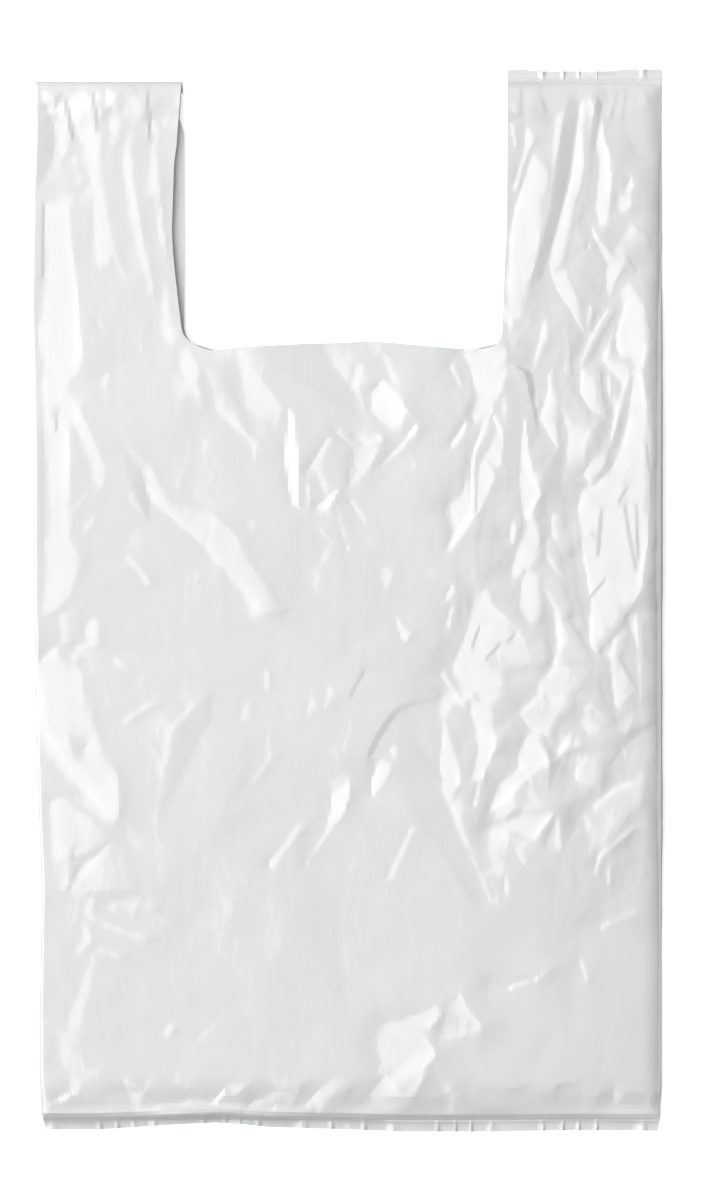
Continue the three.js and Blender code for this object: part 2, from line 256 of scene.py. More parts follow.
# Each crease is its slope, its width and the places that it passes, x and y in turn.
CREASES = (
    # left handle
    (DEEP, 1.6, -126, 222, -123, 206),
    (DEEP, 1.6, -114, 226, -112, 210),
    (DEEP, 1.6, -90, 230, -88.5, 205),
    (DEEP, 1.6, -97, 231, -94, 227),
    (LIGHT, 1.6, -108, 231, -108, 215),
    (DEEP, 1.5, -136.5, 177, -136.5, 144),
    (BRIGHT, 1.6, -84.5, 181, -82.5, 165, -80, 125),
    (BRIGHT, 1.6, -123, 197, -119.5, 186),
    (BRIGHT, 1.6, -117, 185, -115, 179),
    (BRIGHT, 1.6, -112, 126, -110, 120),
    (BRIGHT, 1.6, -95, 126, -91, 110),
    # left side of the body
    (DARK, 1.5, -131, 85, -130, 76),
    (BRIGHT, 1.6, -104, -26, -97, -30),
    (DARK, 1.2, -128, -25, -119, -28),
    (BRIGHT, 2.0, -107.5, 101, -107, 96, -109, 88),
    (BRIGHT, 1.6, -113.5, 87, -109, 80),
    (BRIGHT, 1.6, -98, 20, -92, 14, -87, 7),
    (DARK, 1.6, -123, -111, -124, -128),
    (DARK, 1.4, -120, -117, -125, -128),
    (BRIGHT, 1.8, -99, -54, -86, -46),
    (BRIGHT, 1.8, -105, -136, -86, -137),
    (BRIGHT, 1.8, -113, -141, -98, -147, -88, -150),
    (BRIGHT, 1.8, -116, -146, -114, -152, -119, -156),
    (BRIGHT, 1.6, -113, -133, -115, -140),
    (BRIGHT, 1.8, -110, -155, -100, -158),
    (BRIGHT, 1.6, -135, -187, -121, -195),
    (BRIGHT, 1.6, -77, -190, -80, -194),
    # middle of the body
    (BRIGHT, 1.8, -6, 76, 3, 68),
    (BRIGHT, 1.8, 5, 105, 2, 95),
    (BRIGHT, 1.8, 16, 109, 20, 98),
    (BRIGHT, 1.8, 46, 104, 50, 96),
    (BRIGHT, 1.8, -14.5, 59, -10, 47),
    (BRIGHT, 2.0, -9, 72, -18, 57),
    (BRIGHT, 1.6, -19, 52, -19, 41),
    (BRIGHT, 1.6, 1, 45, 7, 35),
    (BRIGHT, 1.6, -4, 38, 0, 22),
    (BRIGHT, 1.8, 52, 79, 46, 69),
    (DEEP, 1.4, 1, -42, 7, -31),
    (BRIGHT, 1.8, -36, -31, -36, -40),
    (BRIGHT, 1.8, -44, -46, -46, -53),
    (BRIGHT, 1.8, -36, -61, -36, -68),
    (BRIGHT, 1.8, -34, -69, -45, -84),
    (BRIGHT, 1.6, -16, -43, -19, -51),
    (BRIGHT, 1.6, -9, -40, -10, -47),
    (DEEP, 2.6, 9, -69, 13, -61, 18, -53, 21, -49, 30, -45, 40, -43),
    (BRIGHT, 3.0, -21, -101, -35, -118),
    (BRIGHT, 2.0, -7, -100, -18, -117.5),
    (BRIGHT, 2.0, 28, -101, 18, -124),
    (BRIGHT, 1.6, 46, 6, 44, 1),
    (BRIGHT, 1.6, 46, -4, 44, -12),
    # bottom of the body
    (BRIGHT, 1.8, 21, -202, 14, -208),
    (DEEP, 1.8, -43, -222, -50, -230),
    (DEEP, 1.8, -35, -226, -42, -231),
    (DEEP, 1.8, -15, -227, -20, -231),
    (LIGHT, 2.0, 113, -146, 128, -139),
    (LIGHT, 2.0, 104, -161, 106, -169),
    # right handle
    (DEEP, 1.6, 77, 230, 76.5, 219),
    (DEEP, 1.6, 85, 229, 88, 217),
    (DEEP, 1.6, 111, 229, 116, 224),
    (DEEP, 1.6, 120, 226, 117, 216),
    (DEEP, 1.6, 124, 229, 122, 215),
    (DEEP, 1.6, 131, 229, 135, 222),
    (BRIGHT, 1.6, 72.5, 212, 74, 203),
    (DEEP, 1.4, 124, 153, 128, 147),
    # right side of the body
    (STRONG, 1.8, 64, 86, 60, 77, 56, 66, 55, 58, 55, 38),
    (DEEP, 1.0, 111, 20, 112.5, 40),
    (DEEP, 1.0, 123, 42, 125, 28, 128, 14),
    (DEEP, 1.0, 128, 42, 129, 18),
    (DEEP, 1.0, 132.5, 69, 134, 57),
    (DEEP, 1.0, 120, 44, 124, 50),
    (DEEP, 1.0, 108, 2, 114, 9),
    (BRIGHT, 1.8, 98, -11, 106, -24),
    (DEEP, 1.0, 61, -26, 67, -20),
    (DEEP, 1.0, 71, -17.5, 74, -15),
    (DEEP, 1.0, 77, -15, 85, -18),
    (DEEP, 1.0, 58, -12, 55, -21),
    (BRIGHT, 2.0, 42, -33, 51, -47),
    (DEEP, 1.6, 120.5, -25, 128, -39),
    (BRIGHT, 2.0, 126, -102, 112, -114, 110, -122),
    (BRIGHT, 1.6, 116, -119, 116, -126),
    (BRIGHT, 1.6, 70, -125, 70, -130),
    (BRIGHT, 1.6, 58, -83, 56, -91),
)

# ---------------------------------------------------------------- the height of the front panel

CELL = 0.75  # spacing of the places at which heights are worked out
GRID_X = (np.arange(512) - 256) * CELL
GRID_Y = (np.arange(768) - 384) * CELL
SPREAD = 30.0  # how far a facet's rise or fall reaches before the bag is back at its height
OUTSIDE = (-0.13, 0.015)  # slopes allowed across the bag where there is no facet
OUTSIDE_LOOSE = (-0.10, 0.12)  # the same on the crumpled right side
OUTSIDE_ALONG = (-0.10, 0.10)
ROUNDS = 40

EDGE_HEIGHT = (2.8, 1.0)  # at the outer folds, and what is added in the body
PUFF = (0.8, 4.6)  # rise over the edges, and what is added in the middle of the body
HANDLE_PUFF = {"left": 1.7, "right": 3.2}  # rise of each handle's middle
LOOSE_PUFF = 1.6  # rise of the crumpled right side towards its fold
FOLD_WIDTH = 8.5  # over which the front panel curves down to the right fold
FOLD_DROP = (3.3, 1.2)  # how far it curves down, and what is added on the crumpled side
LEAST_HEIGHT = 1.1  # of the front panel, away from the welds
WELD_RUN = {"bottom": 20.0, "top": 16.0}  # from each weld to full height

# Random facets: spacing, stretch along the bag, and height
BROAD = (36.0, 1.3, 0.8)
COARSE = (11.0, 1.7, 0.7)
FINE = (5.0, 1.5, 0.22)
PUCKERS = (11.0, 0.5, 0.8)  # beside the welds
RIDGE_BEND = (26.0, 1.8, 1.0)
RIDGE_FADE = (12.0, 1.8, 1.2)
RIDGE_PERIOD = 13.0
RIDGE_HEIGHT = 0.2


def smooth(t, start, end):
    """Runs from 0 at start to 1 at end, level at both: 3s^2 - 2s^3 of the share s between them."""
    s = np.clip((t - start) / (end - start), 0.0, 1.0)
    return s * s * (3.0 - 2.0 * s)


def through(curve, t):
    """The curve's value at t, straight between its pairs."""
    at, value = np.array(curve, float).T
    return np.interp(t, at, value)


def distance_to(line, x, y, closed):
    """Distance from each place to a line of points, counted as negative inside a closed one."""
    ends = np.roll(line, -1, axis=0) if closed else line[1:]
    starts = line if closed else line[:-1]
    run = ends - starts
    away_x = x[..., None] - starts[:, 0]
    away_y = y[..., None] - starts[:, 1]
    share = (away_x * run[:, 0] + away_y * run[:, 1]) / (run**2).sum(axis=1)
    share = np.clip(share, 0.0, 1.0)
    gap = np.hypot(away_x - share * run[:, 0], away_y - share * run[:, 1]).min(axis=-1)
    if not closed:
        return gap
    rises = (starts[:, 1] > y[..., None]) != (ends[:, 1] > y[..., None])
    climb = np.where(run[:, 1] == 0, 1.0, run[:, 1])
    crossing = starts[:, 0] + away_y / climb * run[:, 0]
    inside = (rises & (x[..., None] < crossing)).sum(axis=-1) % 2 == 1
    return np.where(inside, -gap, gap)


def painted_slopes(rng):
    """Slopes across and along the bag where a facet or crease sets them, and how firmly.

    A facet's slope holds inside its outline and fades over 0.5 mm round it. Each facet also leans
    a little along the bag, by a random amount.
    """
    across = np.zeros((len(GRID_Y), len(GRID_X)))
    along = np.zeros_like(across)
    firm = np.zeros_like(across)
    jobs = [(slope, None, corners) for slope, *corners in FACETS]
    jobs += [(slope, width, places) for slope, width, *places in CREASES]
    for slope, width, places in jobs:
        line = np.array(places, float).reshape(-1, 2)
        slope = slope + SLOPE_DRIFT * line[:, 0].mean() / HALF_WIDTH
        lean = rng.normal(0.0, 0.035)
        low, high = line.min(axis=0) - 3.0, line.max(axis=0) + 3.0
        rows = slice(*np.searchsorted(GRID_Y, (low[1], high[1])))
        cols = slice(*np.searchsorted(GRID_X, (low[0], high[0])))
        x, y = np.meshgrid(GRID_X[cols], GRID_Y[rows])
        gap = distance_to(line, x, y, width is None) - (width or 0.0) / 2.0
        cover = np.clip(0.5 - gap / 0.5, 0.0, 1.0)
        across[rows, cols] += cover * (slope - across[rows, cols])
        along[rows, cols] += cover * (lean - along[rows, cols])
        firm[rows, cols] = np.maximum(firm[rows, cols], cover)
    return across, along, firm


def surface_of(across, along, base):
    """The surface whose slopes are nearest to the given ones, drawn gently towards the base.

    In waves of number kx, ky its height is -i (kx across + ky along) + base / SPREAD^2 over
    kx^2 + ky^2 + 1 / SPREAD^2, with k taken from steps of one cell.
    """
    wave_x = (np.exp(2j * np.pi * np.fft.fftfreq(len(GRID_X))) - 1.0)[None, :] / CELL
    wave_y = (np.exp(2j * np.pi * np.fft.fftfreq(len(GRID_Y))) - 1.0)[:, None] / CELL
    power = np.abs(wave_x) ** 2 + np.abs(wave_y) ** 2 + 1.0 / SPREAD**2
    pull = np.conj(wave_x) * np.fft.fft2(across) + np.conj(wave_y) * np.fft.fft2(along)
    pull += np.fft.fft2(base) / SPREAD**2
    return np.real(np.fft.ifft2(pull / power))


def faceted_surface(rng, base, loose):
    """Heights of the bag with its listed crumples.

    The painted slopes hold on their facets. Everywhere else the film takes whatever slopes join
    them up, held between limits. The two are made to agree by turns.
    """
    across, along, firm = painted_slopes(rng)
    low = OUTSIDE[0] + loose * (OUTSIDE_LOOSE[0] - OUTSIDE[0])
    high = OUTSIDE[1] + loose * (OUTSIDE_LOOSE[1] - OUTSIDE[1])
    now_across, now_along = across.copy(), along.copy()
    for _ in range(ROUNDS):
        height = surface_of(now_across, now_along, base)
        step_x = (np.roll(height, -1, axis=1) - height) / CELL
        step_y = (np.roll(height, -1, axis=0) - height) / CELL
        free_x = np.clip(step_x, low, high)
        free_y = np.clip(step_y, *OUTSIDE_ALONG)
        now_across = firm * across + (1.0 - firm) * free_x
        now_along = firm * (0.5 * along + 0.5 * step_y) + (1.0 - firm) * free_y
    return height, firm


def crumple(rng, spacing, stretch, height):
    """Random facets: points strewn about spacing apart over the bag and a little past it, each
    given a random height, joined by triangles, flat between them. stretch makes the triangles
    longer along the bag."""
    pitch = spacing * stretch
    across = np.arange(-145.0 - spacing, 145.0 + 2.0 * spacing, spacing)
    along = np.arange(-242.0 - pitch, 242.0 + 2.0 * pitch, pitch)
    x, y = np.meshgrid(across, along)
    x = x + rng.uniform(-0.45, 0.45, x.shape) * spacing
    y = y + rng.uniform(-0.45, 0.45, y.shape) * spacing * stretch
    z = rng.uniform(-height, height, x.shape)
    places = [Vector(p) for p in np.stack([x.ravel(), y.ravel()], axis=1)]
    made = delaunay_2d_cdt(places, [], [], 0, 1e-6)
    order = np.array([source[0] for source in made[3]])
    corner = np.stack([x.ravel(), y.ravel(), z.ravel()], axis=1)[order]
    out = np.zeros((len(GRID_Y), len(GRID_X)))
    for face in made[2]:
        a, b, c = corner[list(face)]
        low = np.minimum(np.minimum(a, b), c)
        high = np.maximum(np.maximum(a, b), c)
        rows = slice(*np.searchsorted(GRID_Y, (low[1], high[1])))
        cols = slice(*np.searchsorted(GRID_X, (low[0], high[0])))
        px, py = np.meshgrid(GRID_X[cols], GRID_Y[rows])
        whole = (b[0] - a[0]) * (c[1] - a[1]) - (c[0] - a[0]) * (b[1] - a[1])
        share_b = ((px - a[0]) * (c[1] - a[1]) - (c[0] - a[0]) * (py - a[1])) / whole
        share_c = ((b[0] - a[0]) * (py - a[1]) - (px - a[0]) * (b[1] - a[1])) / whole
        hit = (share_b >= -1e-9) & (share_c >= -1e-9) & (share_b + share_c <= 1.0 + 1e-9)
        flat = a[2] + share_b * (b[2] - a[2]) + share_c * (c[2] - a[2])
        out[rows, cols] = np.where(hit, flat, out[rows, cols])
    return out


def ridged(rng, x):
    """Lengthwise ridges: a saw wave across the bag that rises over four fifths of its period
    and drops over the rest. Random facets bend its phase and fade its height from place to
    place."""
    phase = x / RIDGE_PERIOD + crumple(rng, *RIDGE_BEND)
    strength = np.clip(0.5 + crumple(rng, *RIDGE_FADE), 0.0, 1.0)
    turn = phase % 1.0
    saw = np.where(turn < 0.8, turn / 0.8, (1.0 - turn) / 0.2) - 0.5
    return RIDGE_HEIGHT * strength * saw


def blurred(field, reach):
    """The field averaged with a bell curve of the given reach."""
    fx = np.fft.fftfreq(len(GRID_X), CELL)[None, :]
    fy = np.fft.fftfreq(len(GRID_Y), CELL)[:, None]
    bell = np.exp(-2.0 * (np.pi * reach) ** 2 * (fx**2 + fy**2))
    return np.real(np.fft.ifft2(np.fft.fft2(field) * bell))


def lowest_near(field, reach):
    """The lowest value of the field within a square of the given reach."""
    steps = int(round(reach / CELL))
    for axis in (0, 1):
        field = np.min([np.roll(field, s, axis=axis) for s in range(-steps, steps + 1)], axis=0)
    return field


def bag_heights():
    """Height of the front panel over the back one, and a lower, softer copy for the layers
    between them.

    The base is a level edge with a swelling between the folds. The listed facets bend it,
    random ones are added where those leave room, and quarter circles bring it down to the right
    fold and to both welds.
    """
    rng = np.random.default_rng(11)
    x, y = np.meshgrid(GRID_X, GRID_Y)

    right = through(RIGHT_EDGE, y)
    body = 1.0 - smooth(y, 70.0, 150.0)
    loose = smooth(x, 30.0, 60.0) * smooth(y, -150.0, -100.0) * (1.0 - smooth(y, 150.0, 215.0))
    share = np.clip(np.abs(x) / HALF_WIDTH, 0.0, 1.0)
    fall = np.where(x < 0.0, 0.5 * share**3, share ** (4.0 + 5.0 * loose))
    handle_puff = np.where(x < 0.0, HANDLE_PUFF["left"], HANDLE_PUFF["right"])
    base = EDGE_HEIGHT[0] + EDGE_HEIGHT[1] * body + PUFF[0] + PUFF[1] * body * (1.0 - fall)
    base += handle_puff * (1.0 - body) * smooth(HALF_WIDTH - np.abs(x), 10.0, 50.0)
    base += LOOSE_PUFF * loose * smooth(x, 45.0, 125.0)
    facets, firm = faceted_surface(rng, base, loose)

    free = 1.0 - 0.82 * np.clip(blurred(firm, 1.2), 0.0, 1.0)
    broad = crumple(rng, *BROAD)
    coarse = crumple(rng, *COARSE) * (0.27 + 0.73 * loose)
    fine = crumple(rng, *FINE) * (0.15 + 0.85 * loose)
    near_weld = np.exp(-(((np.abs(y) - WELD + 10.0) / 7.0) ** 2))
    puckers = crumple(rng, *PUCKERS) * near_weld
    ridges = ridged(rng, x) * loose
    inside = np.clip((right - x) / FOLD_WIDTH, 0.0, 1.0)
    drop = (FOLD_DROP[0] + FOLD_DROP[1] * loose) * (1.0 - np.sqrt(1.0 - (1.0 - inside) ** 2))
    height = facets - drop + (broad + coarse + fine + ridges) * free + puckers

    height = LEAST_HEIGHT + np.logaddexp(0.0, (height - LEAST_HEIGHT) * 2.0) / 2.0
    from_bottom = np.clip((y + WELD) / WELD_RUN["bottom"], 0.0, 1.0)
    from_top = np.clip((WELD - y) / WELD_RUN["top"], 0.0, 1.0)
    open_up = np.sqrt(1.0 - (1.0 - from_bottom) ** 2) * np.sqrt(1.0 - (1.0 - from_top) ** 2)
    height = WELD_STACK + (height - WELD_STACK) * open_up
    lower = blurred(lowest_near(height, 6.0), 3.0)
    lower = np.where(np.abs(y) >= WELD - 1.0, WELD_STACK, lower)
    return height, np.minimum(lower, height * 1.3)


HEIGHT, LOWER = bag_heights()


def sampled(field, x, y):
    """The field's value between its places, in proportion to how near each of four is."""
    u = np.clip((x - GRID_X[0]) / CELL, 0, len(GRID_X) - 1.001)
    v = np.clip((y - GRID_Y[0]) / CELL, 0, len(GRID_Y) - 1.001)
    i, j = u.astype(int), v.astype(int)
    s, t = u - i, v - j
    near = field[j, i] * (1 - s) + field[j, i + 1] * s
    far = field[j + 1, i] * (1 - s) + field[j + 1, i + 1] * s
    return near * (1 - t) + far * t


# ---------------------------------------------------------------- the tube of film

SMOOTH_BELOW = -130.0  # the bag is smoother below this y, so its rows are further apart
SMOOTH_LEFT_OF = 30.0  # and smoother to the left of this x
ROWS = {"strip": 8, "low": 50, "body": 200, "handle": 86}
FRONT_COLUMNS = {"left": 42, "middle": 62, "middle_right": 38, "right": 88}
HIDDEN_COLUMNS = {"side": 7, "middle": 12}
BODY_SHARE = (0.0, 0.25, 0.60)  # heights of the back, gusset back and gusset front
HANDLE_SHARE = (0.0, 0.42, 0.82)  # in a handle a hand's way through stands open
CURL = {"bottom left": 3.4, "bottom right": 1.8, "top": 0.8}  # rise of the weld off the floor
CREASE_ANGLE = math.radians(6.0)  # from which an edge between two faces is drawn sharp
UNDER_RADIUS = 0.16  # of the left handle's strip where it turns under
UNDER_CENTRE = FLOOR_GAP + WELD_STACK + UNDER_RADIUS


def rows_along():
    """Nominal y of each row: the strip, the body, the handles and the strip."""
    return np.concatenate([
        np.linspace(BOTTOM, -WELD, ROWS["strip"], endpoint=False),
        np.linspace(-WELD, SMOOTH_BELOW, ROWS["low"], endpoint=False),
        np.linspace(SMOOTH_BELOW, MOUTH, ROWS["body"], endpoint=False),
        np.linspace(MOUTH, WELD, ROWS["handle"], endpoint=False),
        np.linspace(WELD, TOP, ROWS["strip"] + 1),
    ])


def place_y(x, nominal):
    """y of a place on a row: the row is bent so that three of them lie on the bag's cut edges."""
    at_mouth = np.exp(-(((nominal - MOUTH) / 12.0) ** 2))
    at_bottom = 1.0 - smooth(nominal, BOTTOM, -218.0)
    at_top = smooth(nominal, WELD, TOP)
    return (
        nominal
        + at_mouth * (through(MOUTH_EDGE, x) - MOUTH)
        + at_bottom * (through(BOTTOM_EDGE, x) - BOTTOM)
        + at_top * (through(TOP_EDGE, x) - TOP) * (x > 0)
    )


def level_height(level, x, y):
    """Height of one of the four layers over the floor."""
    if level == 3:
        return FLOOR_GAP + sampled(HEIGHT, x, y)
    open_up = smooth(y, 90.0, 135.0)
    share = BODY_SHARE[level] * (1.0 - open_up) + HANDLE_SHARE[level] * open_up
    return FLOOR_GAP + share * sampled(LOWER, x, y)


def film_tube():
    """Points of the tube as (row, column, xyz), and each column's zone: 0 between the handles.

    A row goes round the tube: the front panel, the right side's outer fold, gusset, outer fold,
    the back panel, and the left side's outer fold, gusset and outer fold. Folds are half circles
    between two levels.
    """
    nominal = rows_along()
    left = through(LEFT_EDGE, nominal)
    right = through(RIGHT_EDGE, nominal)
    blocks, zones = [], []

    def heights_at(level, x):
        return level_height(level, x, place_y(x, nominal))

    def panel(level, start, end, count, zone, closing=False):
        share = np.linspace(0.0, 1.0, count + closing, endpoint=closing)
        x = start[:, None] + (end - start)[:, None] * share
        y = place_y(x, nominal[:, None])
        blocks.append(np.stack([x, y, level_height(level, x, y)], axis=-1))
        zones.extend([zone] * x.shape[1])

    def fold(x, above, below, bulge, down, zone):
        z_above, z_below = heights_at(above, x), heights_at(below, x)
        half = (z_above - z_below)[:, None] / 2.0
        turn = np.radians([45.0, 0.0, -45.0]) * (1 if down else -1)
        px = x[:, None] + bulge * np.abs(half) * np.cos(turn)
        pz = (z_above + z_below)[:, None] / 2.0 + half * np.sin(turn)
        py = np.repeat(place_y(x, nominal)[:, None], 3, axis=1)
        blocks.append(np.stack([px, py, pz], axis=-1))
        zones.extend([zone] * 3)

    def fold_reach(x, above, below):
        return np.abs(heights_at(above, x) - heights_at(below, x)) / 2.0

    strap_left = through(LEFT_STRAP_FRONT, nominal)
    back_left = through(LEFT_STRAP_BACK, nominal)
    strap_right = through(RIGHT_STRAP, nominal)
    side, middle = HIDDEN_COLUMNS["side"], HIDDEN_COLUMNS["middle"]
    edge = {
        ("right", 3): right - fold_reach(right - 1.0, 3, 2),
        ("right", 0): right - fold_reach(right - 1.0, 1, 0),
        ("left", 3): left + fold_reach(left + 1.0, 3, 2),
        ("left", 0): left + fold_reach(left + 1.0, 1, 0),
    }
    inner_right = right - GUSSET_DEPTH + fold_reach(right - GUSSET_DEPTH, 2, 1)
    inner_left = left + GUSSET_DEPTH - fold_reach(left + GUSSET_DEPTH, 2, 1)
    inner_right = np.minimum(inner_right, strap_right - 0.3)
    inner_left = np.maximum(inner_left, strap_left + 0.3)
    inner_left = np.maximum(inner_left, back_left + 0.3)

    panel(3, edge["left", 3], strap_left, FRONT_COLUMNS["left"], -1)
    between = np.full_like(nominal, SMOOTH_LEFT_OF)
    panel(3, strap_left, between, FRONT_COLUMNS["middle"], 0)
    panel(3, between, strap_right, FRONT_COLUMNS["middle_right"], 0)
    panel(3, strap_right, edge["right", 3], FRONT_COLUMNS["right"], 1, closing=True)
    fold(edge["right", 3], 3, 2, 1, True, 1)
    panel(2, edge["right", 3], strap_right, side, 1)
    panel(2, strap_right, inner_right, 1, 0, closing=True)
    fold(inner_right, 2, 1, -1, True, 0)
    panel(1, inner_right, strap_right, 1, 0)
    panel(1, strap_right, edge["right", 0], side, 1, closing=True)
    fold(edge["right", 0], 1, 0, 1, True, 1)
    panel(0, edge["right", 0], strap_right, side, 1)
    panel(0, strap_right, back_left, middle, 0)
    panel(0, back_left, edge["left", 0], side, -1, closing=True)
    fold(edge["left", 0], 1, 0, -1, False, -1)
    panel(1, edge["left", 0], back_left, side, -1)
    panel(1, back_left, inner_left, 1, 0, closing=True)
    fold(inner_left, 2, 1, 1, False, 0)
    panel(2, inner_left, strap_left, 1, 0)
    panel(2, strap_left, edge["left", 3], side, -1, closing=True)
    fold(edge["left", 3], 3, 2, -1, False, -1)
    return np.concatenate(blocks, axis=1), np.array(zones), nominal


def belongs_to(zones, side):
    """The columns of one side's strap, with the cut edge's own column."""
    return ((zones == side) | (np.roll(zones, 1) == side) | (np.roll(zones, -1) == side))[None, :]


def turn_strip_under(points, zones, nominal):
    """The left handle's end rises over its last stretch, and its strip goes round a half circle
    and back under it. Each layer's own height over the floor is added to the circle's radius."""
    mine = belongs_to(zones, -1)
    x, y, z = points[..., 0], points[..., 1], points[..., 2]
    stack = z - FLOOR_GAP
    raise_to = UNDER_CENTRE + UNDER_RADIUS - FLOOR_GAP
    lift = raise_to * smooth(nominal, WELD - 30.0, WELD)[:, None]
    past = np.maximum(nominal - WELD, 0.0)[:, None]
    radius = UNDER_RADIUS + stack
    turn = np.minimum(past / (UNDER_RADIUS + WELD_STACK / 2.0), np.pi)
    back = np.maximum(past - np.pi * (UNDER_RADIUS + WELD_STACK / 2.0), 0.0)
    rolled_y = WELD + radius * np.sin(turn) - back
    rolled_z = UNDER_CENTRE + radius * np.cos(turn)
    over = mine & (nominal > WELD)[:, None]
    points[..., 1] = np.where(over, rolled_y, y)
    points[..., 2] = np.where(over, rolled_z, np.where(mine, z + lift, z))
    return points


def shape_strips(points, zones, nominal):
    """Both loose ends curl up off the floor at their weld, in a bell curve along Y, the bottom one
    less at some places than at others. Each strip carries the weld as a low rib. Past it the strip
    ripples in waves along X, with narrow upright ticks, which both grow away from the weld."""
    past = np.maximum(np.abs(nominal) - WELD, 0.0)[:, None]
    free = ~belongs_to(zones, -1) | (nominal < 0)[:, None]
    x = points[..., 0]
    bend = 0.75 + 0.25 * np.sin(x / 23.0 + 2.0) * np.sin(x / 9.0)
    low_end = (nominal < 0)[:, None]
    gain = CURL["bottom right"] - CURL["bottom left"]
    bottom = CURL["bottom left"] + gain * smooth(x, -45.0, 45.0)
    curl = np.where(low_end, bottom * bend, CURL["top"])
    curl = curl * np.exp(-(((np.abs(nominal) - WELD + 0.4) / 3.4) ** 2))[:, None]
    rib = 0.32 * np.exp(-(((past - 1.4) / 0.6) ** 2)) * (past > 0)
    wave = 0.5 + 0.4 * np.sin(x / 4.3 + 1.0) * np.sin(x / 17.0)
    tick = 2.2 * np.exp(-((np.sin(x / 3.7 + 1.5 * np.sin(x / 8.0)) / 0.25) ** 2))
    ripple = 0.09 * past * (wave + tick)
    points[..., 2] += np.where(free, curl + rib + ripple, 0.0)
    return points


def crease_runs_back(z):
    """For each square of the tube, whether a crease runs from its second corner to its fourth.

    The crease runs along the diagonal on which the height bends less: the bend along either is
    the sum of the bends along the row and the column, plus or minus twice the twist.
    """
    bend = np.roll(z, 1, axis=1) + np.roll(z, -1, axis=1) - 2.0 * z
    bend[1:-1] += z[2:] + z[:-2] - 2.0 * z[1:-1]
    bend = bend[:-1] + bend[1:]
    bend = (bend + np.roll(bend, -1, axis=1)) / 4.0
    step = np.roll(z, -1, axis=1) - z
    twist = step[1:] - step[:-1]
    return np.abs(bend - 2.0 * twist) < np.abs(bend + 2.0 * twist)


def film_mesh():
    """The tube as a mesh of triangles, without those that the die cuts away. Each square between
    rows and columns is split along its crease."""
    points, zones, nominal = film_tube()
    points = shape_strips(turn_strip_under(points, zones, nominal), zones, nominal)
    rows, cols = points.shape[:2]
    number = np.arange(rows * cols).reshape(rows, cols)
    ahead = np.roll(number, -1, axis=1)
    cut = (zones == 0)[None, :] & (nominal[:-1] >= MOUTH - 1e-6)[:, None]
    quads = np.stack([number[:-1], ahead[:-1], ahead[1:], number[1:]], axis=-1)
    turned = crease_runs_back(points[..., 2])[..., None]
    first = np.where(turned, quads[..., [0, 1, 3]], quads[..., [0, 1, 2]])
    second = np.where(turned, quads[..., [1, 2, 3]], quads[..., [0, 2, 3]])
    faces = np.concatenate([first[~cut], second[~cut]])
    used = np.unique(faces)
    renumber = np.full(rows * cols, -1)
    renumber[used] = np.arange(len(used))
    mesh = bpy.data.meshes.new("carrier_bag_film")
    mesh.vertices.add(len(used))
    mesh.vertices.foreach_set("co", (points.reshape(-1, 3)[used] * MM).ravel())
    mesh.loops.add(faces.size)
    mesh.loops.foreach_set("vertex_index", renumber[faces].ravel())
    mesh.polygons.add(len(faces))
    mesh.polygons.foreach_set("loop_start", np.arange(0, faces.size, 3))
    mesh.polygons.foreach_set("use_smooth", np.ones(len(faces), bool))
    mesh.update(calc_edges=True)
    mesh.validate()
    mesh.set_sharp_from_angle(angle=CREASE_ANGLE)
    return mesh


# ---------------------------------------------------------------- the finish

